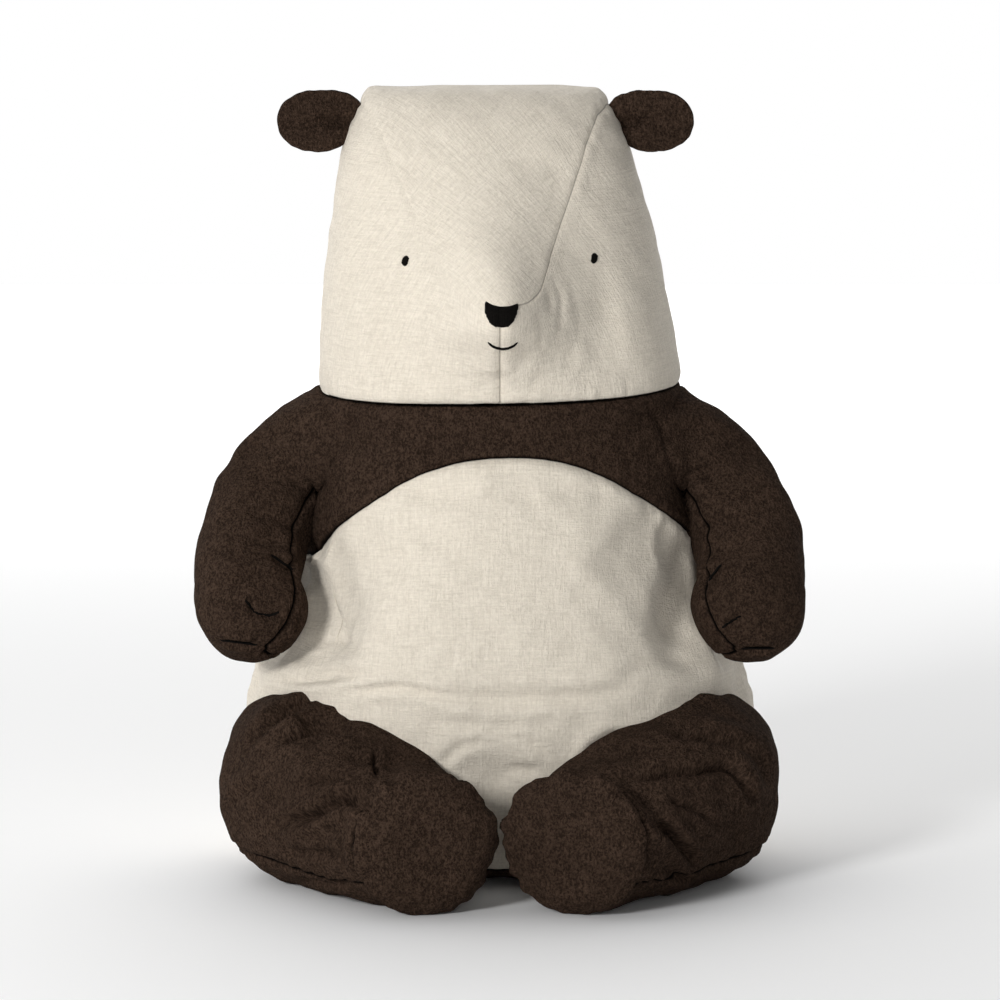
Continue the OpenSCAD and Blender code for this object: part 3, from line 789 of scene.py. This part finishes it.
def wool(name, colour, lit):
    """Dark felted wool: short matted fibres, a soft nap, and painted shade along the seam grooves."""
    n = Nodes(name)
    rest = n.attribute("rest").outputs["Vector"]
    seam = n.attribute("seam").outputs["Fac"]
    speckle = n.noise(rest, 560, 4, 0.7)
    clump = n.noise(rest, 150, 3, 0.6)
    drift = n.noise(rest, 16, 3)
    stray = n.add("ShaderNodeTexNoise", {"Vector": rest, "Scale": 130.0}).outputs["Color"]
    bent = n.add("ShaderNodeVectorMath", {0: rest, 1: n.stretched(stray, (0.008, 0.008, 0.008))},
                 operation="ADD").outputs[0]
    fibre = n.noise(n.stretched(bent, (900, 300, 260)), 1, 2, 0.6)
    tone = n.math("ADD", n.math("MULTIPLY", speckle, 0.75), n.math("MULTIPLY", clump, 0.25))
    tone = n.math("ADD", tone, n.spread(fibre, 0.4, 0.8, -0.06, 0.12))
    shade = n.mix(n.spread(tone, 0.4, 0.6), colour, lit)
    shade = n.mix(n.spread(drift, 0.35, 0.7, 0.0, 0.3), shade, colour)
    # painted shade: dark and near-black lines painted along each seam's groove
    shade = n.mix(n.spread(seam, 0.2, 2.2, 0.85, 0.0), shade, PAINTED_WOOL_GROOVE_SHADE)
    shade = n.mix(n.spread(seam, 0.3, 1.3, 1.0, 0.0), shade, PAINTED_BLACK_GROOVE_SHADE)
    n.put(n.shader.inputs["Base Color"], shade)
    n.shader.inputs["Roughness"].default_value = 0.95
    n.shader.inputs["Sheen Weight"].default_value = 0.004
    n.shader.inputs["Sheen Roughness"].default_value = 0.6
    n.shader.inputs["Sheen Tint"].default_value = (0.9, 0.75, 0.65, 1)
    n.shader.inputs["Specular IOR Level"].default_value = 0.02
    nap = n.math("ADD", clump, n.math("MULTIPLY", fibre, 0.5))
    height = n.math("ADD", n.math("MULTIPLY", speckle, 0.9), nap)
    low = n.add("ShaderNodeBump", {"Strength": 1.0, "Distance": 0.0065, "Height": height})
    n.put(n.shader.inputs["Normal"], low.outputs["Normal"])
    return n.material


def thread(name):
    """Black cotton thread with a faint twist."""
    n = Nodes(name)
    rest = n.attribute("rest").outputs["Vector"]
    twist = n.noise(n.stretched(rest, (2600, 900, 900)), 1, 2)
    n.put(n.shader.inputs["Base Color"], n.mix(n.spread(twist, 0.3, 0.7), BLACK, BLACK_LIT))
    n.shader.inputs["Roughness"].default_value = 0.8
    n.shader.inputs["Specular IOR Level"].default_value = 0.06
    n.shader.inputs["Sheen Weight"].default_value = 0.001
    low = n.add("ShaderNodeBump", {"Strength": 0.5, "Distance": 0.0003, "Height": twist})
    n.put(n.shader.inputs["Normal"], low.outputs["Normal"])
    return n.material


# ---- camera, light and floor

def aim(obj, target):
    way = target - np.array(obj.location)
    obj.rotation_mode = "QUATERNION"
    obj.rotation_quaternion = Vector(way).to_track_quat("-Z", "Y")


def make_camera():
    data = bpy.data.cameras.new("camera")
    data.lens, data.sensor_width = 163.6, 36
    cam = new_object("camera", data)
    target, reach, lift = np.array([0, 0, 0.285]), 3.5, math.radians(7)
    cam.location = target + reach * np.array([0, -math.cos(lift), math.sin(lift)])
    aim(cam, target)
    data.clip_start, data.clip_end = 0.1, 50
    bpy.context.scene.camera = cam


def area_light(name, place, size, power, aim_at=(0, 0, 0.3)):
    data = bpy.data.lights.new(name, "AREA")
    data.shape, data.size, data.size_y = "RECTANGLE", size[0], size[1]
    data.energy = power
    lamp = new_object(name, data)
    lamp.location = place
    aim(lamp, np.array(aim_at))


def make_floor():
    mesh = bpy.data.meshes.new("floor")
    half = 6.0
    corners = [(-half, -half, 0), (half, -half, 0), (half, half, 0), (-half, half, 0)]
    mesh.from_pydata(corners, [], [(0, 1, 2, 3)])
    floor = new_object("floor", mesh)
    material = bpy.data.materials.new("pale_floor")
    material.use_nodes = True
    shader = material.node_tree.nodes["Principled BSDF"]
    shader.inputs["Base Color"].default_value = (0.93, 0.93, 0.93, 1)
    shader.inputs["Roughness"].default_value = 0.9
    mesh.materials.append(material)


def make_sky():
    """White behind the toy and on its right, darker where the toy faces, so that the key light shapes it."""
    world = bpy.data.worlds.new("studio")
    world.use_nodes = True
    tree = world.node_tree
    where = tree.nodes.new("ShaderNodeTexCoord")
    toward = tree.nodes.new("ShaderNodeVectorMath")
    toward.operation = "DOT_PRODUCT"
    toward.inputs[1].default_value = (-0.40, 0.80, 0.45)
    level = tree.nodes.new("ShaderNodeMapRange")
    for socket, value in ((1, 0.0), (2, 0.64), (3, 0.05), (4, 1.0)):
        level.inputs[socket].default_value = value
    tree.links.new(where.outputs["Generated"], toward.inputs[0])
    tree.links.new(toward.outputs["Value"], level.inputs[0])
    tree.links.new(level.outputs[0], tree.nodes["Background"].inputs["Strength"])
    tree.nodes["Background"].inputs["Color"].default_value = (1, 1, 1, 1)
    bpy.context.scene.world = world


def make_lights():
    area_light("key", (-1.85, -2.75, 1.3), (0.7, 0.7), 72)
    area_light("front", (0.5, -3.2, 0.6), (1.8, 1.8), 22)
    area_light("backdrop", (0, 4.5, 2.6), (7, 3), 170, aim_at=(0, 4.5, 0))


# ---- folds and stitches

# in millimetres, seen from the front; a fold is (depth, width, [(x, z), ...]),
# and a dent is (depth, x, z, half width, half height), where a depth below 0 is a swelling

HEAD_FOLDS = [
    (0.43, 2.07, [(26, 447), (40, 452), (58, 458)]),
    (0.43, 2.07, [(30, 432), (44, 428), (56, 420)]),
    (0.37, 2.3, [(24, 416), (38, 404), (48, 396)]),
    (0.31, 2.3, [(-22, 430), (-38, 424), (-52, 420)]),
    (0.95, 2.53, [(38, 467), (46, 446), (45, 425), (40, 413)]),
    (0.95, 2.3, [(35, 458), (38, 437)]),
    (0.63, 2.3, [(27, 440), (31, 424), (30, 408)]),
    (0.42, 2.88, [(52, 455), (60, 432), (60, 412)]),
    (0.53, 2.53, [(-20, 389), (5, 384)]),
    (0.37, 3.45, [(-30, 452), (-36, 432), (-32, 414)]),
]
BELLY_FOLDS = [
    (4.43, 3.82, [(-176, 149), (-148, 153.6), (-116, 162), (-93, 163)]),
    (3.41, 3.06, [(-122, 150), (-75, 156), (-31, 149)]),
    (2.89, 5.52, [(-62, 152), (0, 148), (60, 150), (108, 155)]),
    (3.07, 3.4, [(57, 92), (70, 112), (85, 120), (120, 119)]),
    (2.73, 4.25, [(4, 95), (30, 93)]),
    (2.05, 3.4, [(-46, 97), (-30, 112), (-8, 118)]),
    (1.71, 3.4, [(40, 102), (20, 118), (2, 122)]),
    (1.71, 3.82, [(-150, 176), (-120, 184), (-96, 180)]),
    (1.71, 3.82, [(150, 168), (120, 172), (92, 166)]),
    (1.36, 4.25, [(-60, 132), (0, 128), (50, 131)]),
]
BELLY_DENTS = [
    (18, -141, 208, 26, 46), (17, 143, 200, 24, 36),                                # under the arms
    (8, -128, 200, 22, 38), (3, 132, 205, 12, 20), (5, 146, 246, 13, 16),           # beside them
    (8, -150, 172, 30, 12), (6, -160, 140, 26, 9), (5, 160, 140, 26, 9),            # above the thighs
    (6, 0, 84, 26, 26),                                                             # between the legs
    (-5, -100, 168, 46, 16), (-3, 96, 164, 46, 16),                                 # fuller over the lap
]
YOKE_FOLDS = [
    (2.2, 2.6, [(-109, 372), (-110, 357), (-114, 343), (-128, 321), (-140, 301), (-147, 284)]),
    (2.2, 2.6, [(109, 372), (116, 358), (122, 346), (132, 320), (138, 299), (146, 274)]),
    (1.2, 4, [(-104, 330), (-84, 338), (-60, 340)]),
    (1.2, 4, [(106, 322), (90, 334), (66, 338)]),
    (0.9, 4, [(-112, 350), (-96, 344)]),
    (0.9, 4, [(116, 346), (100, 342)]),
]
ARM_FOLDS = {
    "right": [
        (6.21, 2.19, [(-173, 248), (-159, 238)]),
        (6.21, 2.19, [(-191, 218), (-185, 209), (-174, 206), (-168, 209)]),
        (5.38, 2.19, [(-211, 186), (-185, 183)]),
        (2.69, 3.99, [(-206, 224), (-194, 236), (-178, 240)]),
        (2.48, 4.49, [(-152, 262), (-172, 276), (-196, 280)]),
        (2.07, 4.49, [(-146, 296), (-168, 306), (-190, 304)]),
        (1.86, 4.49, [(-128, 330), (-142, 338), (-160, 336)]),
        (2.48, 3.5, [(-219, 200), (-204, 204), (-190, 200)]),
    ],
    "left": [
        (6.21, 2.19, [(168, 242), (159, 231)]),
        (6.21, 2.19, [(182, 207), (169, 198)]),
        (5.38, 2.19, [(184, 180), (208, 180)]),
        (2.9, 4.49, [(148, 262), (168, 272), (190, 270)]),
        (2.48, 4.49, [(150, 226), (166, 232), (186, 228)]),
        (2.07, 4.99, [(136, 300), (154, 308), (176, 300)]),
        (1.86, 4.49, [(122, 334), (140, 340), (156, 334)]),
        (2.48, 3.5, [(216, 196), (204, 202), (192, 196)]),
    ],
}
LEG_FOLDS = {
    "right": [
        (6.4, 2.9, [(-138, 142), (-175, 126), (-194, 106)]),
        (12.7, 3.2, [(-104, 126), (-137, 125), (-168, 116)]),
        (7.1, 2.1, [(-94, 113), (-91, 98)]),
        (5.6, 2.6, [(-114, 97), (-151, 91)]),
        (13.3, 3.2, [(-88, 84), (-114, 84), (-137, 71), (-168, 56)]),
        (4.9, 2.9, [(-70, 104), (-96, 106), (-118, 112)]),
        (4.9, 3.2, [(-112, 46), (-136, 40), (-160, 36)]),
        (4.2, 2.9, [(-110, 20), (-130, 14), (-150, 14)]),
        (4.2, 3.6, [(-176, 86), (-196, 74), (-204, 60)]),
    ],
    "left": [
        (12, 3.2, [(128, 124), (161, 118), (194, 106)]),
        (8.5, 2.9, [(90, 98), (129, 100), (170, 98), (180, 90), (187, 77), (196, 62)]),
        (12.7, 3.2, [(115, 72), (133, 50), (148, 28)]),
        (4.9, 2.6, [(122, 84), (146, 74), (164, 58)]),
        (4.9, 2.9, [(76, 108), (100, 112), (124, 112)]),
        (4.2, 2.9, [(118, 34), (134, 20), (150, 12)]),
        (4.2, 3.6, [(182, 116), (198, 96), (206, 76)]),
    ],
}
SOLE_FOLDS = {
    "right": [(1.0, 5, [(-92, 74), (-70, 82), (-48, 80)]), (0.8, 6, [(-80, 30), (-60, 22), (-40, 24)])],
    "left": [(1.0, 5, [(96, 78), (76, 84), (56, 80)]), (0.8, 6, [(86, 28), (64, 22), (42, 26)])],
}
NOSE_TOP = [(-11.4, 447.8), (-5.6, 445), (0.6, 443.6), (7.6, 443.7), (13, 445.4)]
NOSE_LOW = [
    (-11.4, 445), (-10, 436.8), (-7, 431.2), (-3.5, 429), (1.5, 428.3), (6, 429), (9.6, 432.4), (12, 438),
    (13, 443.2)]
MOUTH = [(-8.8, 416.4), (-5.6, 413.8), (-1.8, 412), (1.8, 411.4), (6, 412.1), (9.9, 413.8), (12.9, 416)]
CLAWS = {
    "right": [
        [(-174, 249), (-158, 237)], [(-192, 219), (-185, 209), (-174, 206), (-167, 209)],
        [(-212, 187), (-184, 183)]],
    "left": [[(168, 242), (158.5, 230)], [(182, 207), (168, 197)], [(183, 180), (208, 180)]],
}

# ---- colours and cloth

# the groove colours are painted shade laid along the seam grooves
CREAM, CREAM_DARK, PAINTED_CREAM_GROOVE_SHADE = (0.77, 0.705, 0.60, 1), (0.61, 0.55, 0.46, 1), (0.10, 0.085, 0.065, 1)
WOOL, WOOL_LIT, PAINTED_WOOL_GROOVE_SHADE = (0.033, 0.0203, 0.014, 1), (0.110, 0.069, 0.048, 1), (0.003, 0.0022, 0.0016, 1)
BLACK, BLACK_LIT = (0.0012, 0.001, 0.0008, 1), (0.006, 0.005, 0.004, 1)
# painted shade for the deepest middle of the wool's seam grooves
PAINTED_BLACK_GROOVE_SHADE = (0.001, 0.0008, 0.0006, 1)
# pressure inside, slack of the cloth and largest movement in millimetres
CLOTH = {"head": (0.3, 0.006, 3), "torso": (0.55, 0.02, 6)}
LIMB_CLOTH = (0.5, 0.02, 6)
SIDES = {"left": 1, "right": -1}
SEEDS = {"left": 31, "right": 61}
FLOOR_Z = 0.4               # the cloth lies just above the floor


# ---- build

def make_bases():
    bases = {"head": head_grid(), "torso": torso_grid()}
    for side in SIDES:
        bases["arm_" + side] = arm_grid(side)
        bases["leg_" + side] = leg_grid(side)
        bases["ear_" + side] = ear_grid(side)
    return bases


def settle(bases):
    """Cloth simulation of every piece: seams hold, except that the head's upper seams give a little."""
    pieces = []
    for name, obj in bases.items():
        held = seam_points(obj).astype(float)
        height = np.array([v.co.z for v in obj.data.vertices]) / MM
        if name == "torso":
            held[height < 4] = 1
        if name == "head":
            held[(height > NECK_Z + 12) & (held > 0)] = 0.2
        pieces.append((obj, held, *CLOTH.get(name, LIMB_CLOTH)))
    simulate(pieces)


def shape_head(head):
    head.uneven(0.8, 70, 11)
    head.uneven(0.3, 22, 12)
    x, y, z = head.seam_at.T
    clear = smooth((x + 14) / 20)                     # the gusset's seam hardly shows on the toy's right
    clear = np.where((z < 436) & (y < 0), 1.5, np.maximum(clear, smooth(y / 50)))
    head.seams(1.0, 1.8, 0.3, 0.25, 10, 13, 0.2 + 0.8 * clear)
    # the painted seam shade is moved away from the seam where the seam hardly shows
    head.seam_d += 2 * np.maximum(1 - clear, 0)
    head.folds(HEAD_FOLDS)


def shape_torso(torso):
    torso.uneven(1.3, 80, 21)
    torso.uneven(0.45, 26, 22)
    torso.seams(1.8, 2.2, 0.7, 0.4, 10, 23)
    torso.dents(BELLY_DENTS)
    torso.folds(BELLY_FOLDS + YOKE_FOLDS)
    torso.p[:, 2] = np.maximum(torso.p[:, 2], FLOOR_Z)


def shape_arm(arm, side, seed):
    arm.uneven(1.2, 55, seed)
    arm.uneven(0.5, 20, seed + 1)
    arm.seams(1.8, 2.2, 0.7, 0.6, 10, seed + 2)
    arm.folds(ARM_FOLDS[side])
    # the shoulder's seam lies a little under the yoke, so its painted groove shade is drawn further out
    arm.seam_d -= 2.2 * smooth((arm.seam_at[:, 2] - 296) / 20)


def shape_leg(leg, side, seed):
    leg.uneven(1.5, 60, seed + 3)
    leg.uneven(0.5, 22, seed + 4)
    leg.seams(2.2, 2.4, 1.0, 0.9, 12, seed + 5)
    leg.folds(LEG_FOLDS[side] + SOLE_FOLDS[side])
    leg.scallops(1.9, 13, seed + 8)
    leg.p[:, 2] = np.maximum(leg.p[:, 2], FLOOR_Z)


def shape_ear(ear, side, seed):
    """The ear's front is pinched towards the head, and the whole ear follows the head's lean."""
    ear.uneven(0.5, 24, seed + 6)
    ear.seams(0.8, 1.8, 0.4, 0.3, 8, seed + 7)
    x, z, s = SIDES[side] * EAR_MID[0], EAR_MID[2], SIDES[side]
    ear.folds([
        (5.0, 3.6, [(x - s * 34, z - 3), (x + s * 4, z + 1)]),
        (1.8, 3.2, [(x - s * 4, z + 2), (x + s * 14, z - 7)]),
        (1.2, 2.8, [(x - s * 26, z + 15), (x + s * 8, z + 18)])])
    ear.p[:, 0] += HEAD_LEAN * (EAR_MID[2] - NECK_Z)


def shape_skins(bases):
    skin = {name: Skin(obj) for name, obj in bases.items()}
    shape_head(skin["head"])
    shape_torso(skin["torso"])
    for side, seed in SEEDS.items():
        shape_arm(skin["arm_" + side], side, seed)
        shape_leg(skin["leg_" + side], side, seed)
        shape_ear(skin["ear_" + side], side, seed)
    return skin


def place_cloth(skin):
    """Cuts each skin into its panels; a panel where two bodies meet is baked in place and left unparented,
    the others ride on their body.
    """
    head_cloth = ("cream_linen", linen("cream_linen_head", CREAM, CREAM_DARK, 0.2), 0.85)
    body_cloth = ("cream_linen", linen("cream_linen", CREAM, CREAM_DARK, 0.4), 0.75)
    dark = wool("dark_wool", WOOL, WOOL_LIT)
    body_wool, arm_wool, ear_wool = (("dark_wool", dark, fill) for fill in (0.75, 0.8, 0.5))

    def place(body, name, threads, cloth, blend=None, also=()):
        slot, material, fill = cloth
        obj = skin[body].panel(name, threads, material)
        if blend:
            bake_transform(obj)
        else:
            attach(obj, body)
        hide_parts(name, *also)

    neck = ("torso", "head", (0, MID_Y * MM, 0.352), (0, MID_Y * MM, 0.400))
    place("head", "head_gusset", "bias", head_cloth, neck, ["head_fill"])
    place("head", "head_cheek_left", "a", head_cloth, neck)
    place("head", "head_cheek_right", "b", head_cloth, neck)
    place("torso", "belly_front", "a", body_cloth, neck, ["torso_fill"])
    place("torso", "lower_back", "b", body_cloth, neck)
    place("torso", "yoke_front", "a", body_wool, neck)
    place("torso", "yoke_back", "b", body_wool, neck)
    place("torso", "base_panel", "a", body_wool)
    for side, s in SIDES.items():
        arm, leg, ear = "arm_" + side, "leg_" + side, "ear_" + side
        shoulder = ("torso", arm, (s * 0.14, 0.04, 0.315), (s * 0.17, 0.01, 0.262))
        place(arm, arm + "_outer", "a", arm_wool, shoulder, [arm + "_fill"])
        place(arm, arm + "_inner", "a", arm_wool, shoulder)
        hip = ("torso", leg, (s * 0.13, 0.02, 0.07), (s * 0.13, -0.06, 0.07))
        place(leg, leg + "_upper", "a", body_wool, hip, [leg + "_fill"])
        place(leg, leg + "_lower", "a", body_wool, hip)
        place(leg, leg + "_sole", "a", body_wool, hip)
        root = s * (EAR_MID[0] - 34) + HEAD_LEAN * (EAR_MID[2] - NECK_Z)
        fold = ("head", ear, *(((root + out) * MM, EAR_MID[1] * MM, EAR_MID[2] * MM) for out in (0, s * 14)))
        place(ear, ear + "_front", "a", ear_wool, fold, [ear + "_fill"])
        place(ear, ear + "_back", "a", ear_wool, fold)


def sew_stitches(skin):
    """Face and claws, each riding on its body."""
    black = thread("black_thread")

    def sew(name, lines, body, radius, lift):
        obj = strands(name, lines, skin[body].tree(), radius, lift, black)
        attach(obj, body)
        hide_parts(name)

    top, low = np.array(NOSE_TOP).T, np.array(NOSE_LOW).T
    columns = np.arange(-10.2, 13.2, 0.95)
    sew("nose", [[(x, np.interp(x, *top)), (x, np.interp(x, *low))] for x in columns], "head", 0.85, 0.55)
    sew("mouth", [MOUTH], "head", 1.05, 0.4)
    oval = ((-1.8, 2.4), (-1.2, 3.4), (-0.6, 3.9), (0, 4.1), (0.6, 3.9), (1.2, 3.4), (1.8, 2.4))
    for side, x, z, tilt in (("left", 71, 474.6, 0.3), ("right", -71.2, 473.2, 0.6)):
        lines = [[(x + dx + tilt, z + h), (x + dx - tilt, z - h)] for dx, h in oval]
        sew("eye_" + side, lines, "head", 0.65, 0.6)
    for side in SIDES:
        sew("claws_" + side, CLAWS[side], "arm_" + side, 1.0, 0.3)


bpy.context.scene.view_settings.view_transform = "Standard"
make_camera()
make_floor()
make_sky()
make_lights()
parts = make_bases()
settle(parts)
skins = shape_skins(parts)
place_cloth(skins)
sew_stitches(skins)
